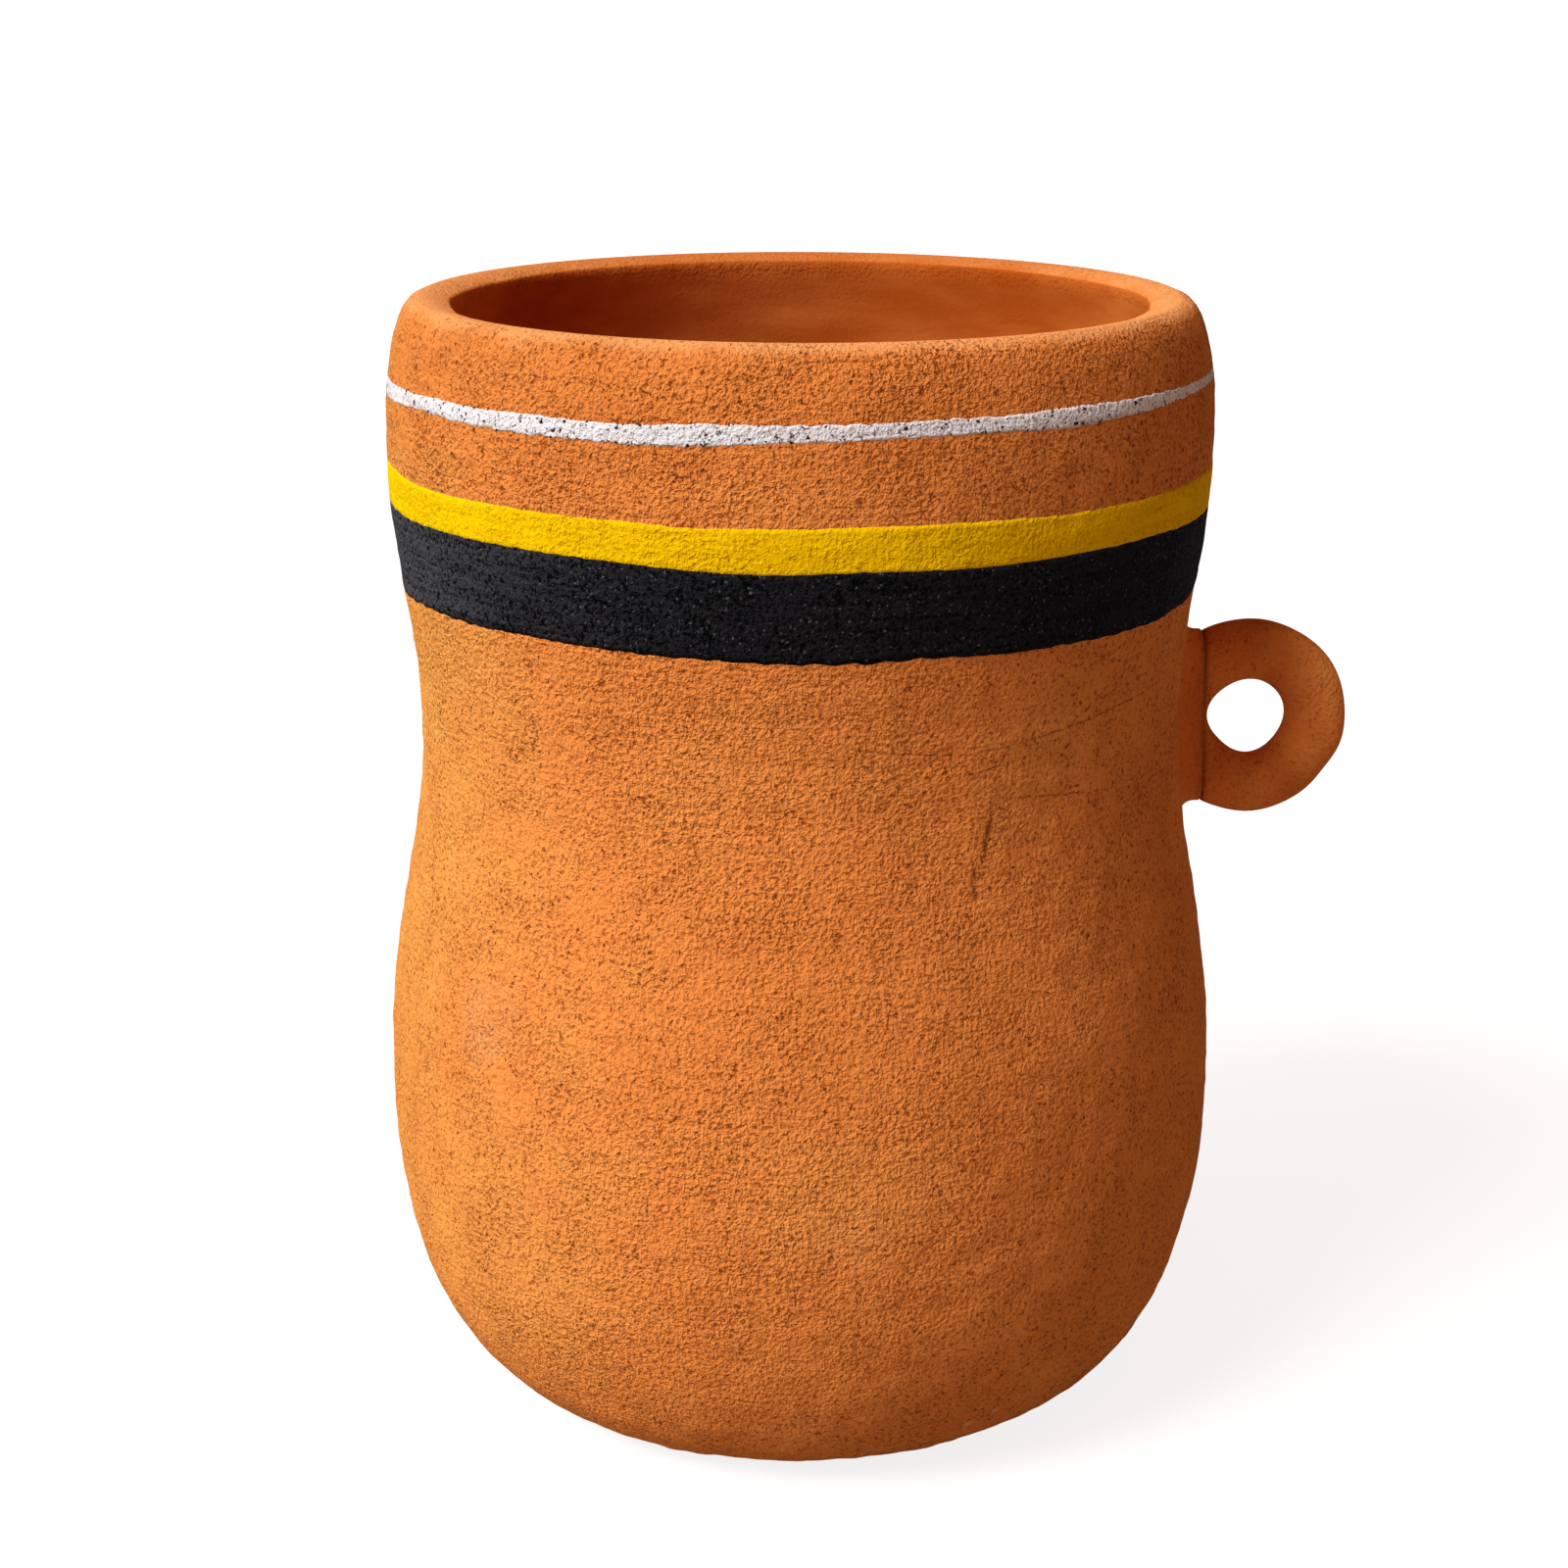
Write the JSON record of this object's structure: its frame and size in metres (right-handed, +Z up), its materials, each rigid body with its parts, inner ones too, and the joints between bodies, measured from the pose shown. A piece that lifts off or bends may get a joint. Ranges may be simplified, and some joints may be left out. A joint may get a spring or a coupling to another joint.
{
  "type": "terracotta planter",
  "caption": "Waisted round planter of coarse terracotta with a rolled lip, a drain hole, a pierced ring lug luted to its waist, and white, yellow and black bands of brushed slip.",
  "frame": {"origin": "centre of the foot, on the plane the pot stands on, where the drain hole opens underneath", "axes": "+Z up along the pot's axis, +X from the axis towards the ring lug, +Y through the ring's eye"},
  "size_m": [0.2622, 0.2274, 0.3],
  "materials": {
    "terracotta": "matte, coarse grog",
    "white_slip": "matte, brushed",
    "yellow_slip": "matte, brushed",
    "black_slip": "matte, brushed"
  },
  "bodies": {
    "root": {"pot_body": "terracotta", "lug_luting": "terracotta", "ring_lug": "terracotta", "white_band": "white_slip", "yellow_band": "yellow_slip", "black_band": "black_slip"}
  },
  "joints": []
}
